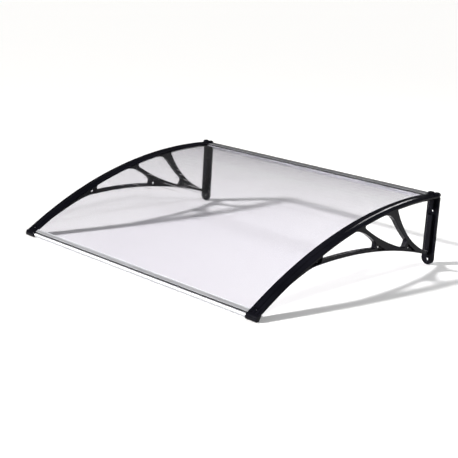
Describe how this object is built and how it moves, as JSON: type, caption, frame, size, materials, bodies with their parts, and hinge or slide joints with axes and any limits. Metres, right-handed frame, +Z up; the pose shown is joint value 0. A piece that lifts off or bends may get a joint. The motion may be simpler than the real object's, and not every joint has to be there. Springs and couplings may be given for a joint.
{
  "type": "door canopy",
  "caption": "Door canopy: a clear bowed sheet clamped by cover strips to moulded wall brackets, with a rail along its front and rear edge.",
  "frame": {"origin": "on the wall plane, at mid-width, 0.3 mm below the middle of the rear rail's wall seal", "axes": "+X along the wall to the right-hand bracket as named, +Y into the wall, so the canopy reaches towards -Y, +Z up"},
  "size_m": [1.0436, 0.7884, 0.2558],
  "materials": {
    "black_moulding": "glossy black moulded plastic",
    "clear_polycarbonate": "clear, smooth, see-through polycarbonate",
    "anodised_aluminium": "anodised, satin, drawn along its length",
    "black_rubber": "matt",
    "zinc_plated_steel": "zinc plated",
    "pale_silicone": "smooth, pale and slightly translucent"
  },
  "bodies": {
    "root": {"bracket_left": "black_moulding", "cover_strip_left": "black_moulding", "front_cap_left": "black_moulding", "rear_cap_left": "black_moulding", "bracket_right": "black_moulding", "cover_strip_right": "black_moulding", "front_cap_right": "black_moulding", "rear_cap_right": "black_moulding", "polycarbonate_sheet": "clear_polycarbonate", "front_rail": "anodised_aluminium", "rear_rail": "anodised_aluminium", "front_rail_trim": "black_rubber", "front_rail_seal": "pale_silicone", "rear_rail_seal": "black_rubber", "wall_seal": "black_rubber", "strip_screw_left_1": "zinc_plated_steel", "strip_screw_left_2": "zinc_plated_steel", "strip_screw_left_3": "zinc_plated_steel", "strip_screw_left_4": "zinc_plated_steel", "strip_screw_left_5": "zinc_plated_steel", "front_cap_screw_left": "zinc_plated_steel", "strip_screw_right_1": "zinc_plated_steel", "strip_screw_right_2": "zinc_plated_steel", "strip_screw_right_3": "zinc_plated_steel", "strip_screw_right_4": "zinc_plated_steel", "strip_screw_right_5": "zinc_plated_steel", "front_cap_screw_right": "zinc_plated_steel"}
  },
  "joints": []
}
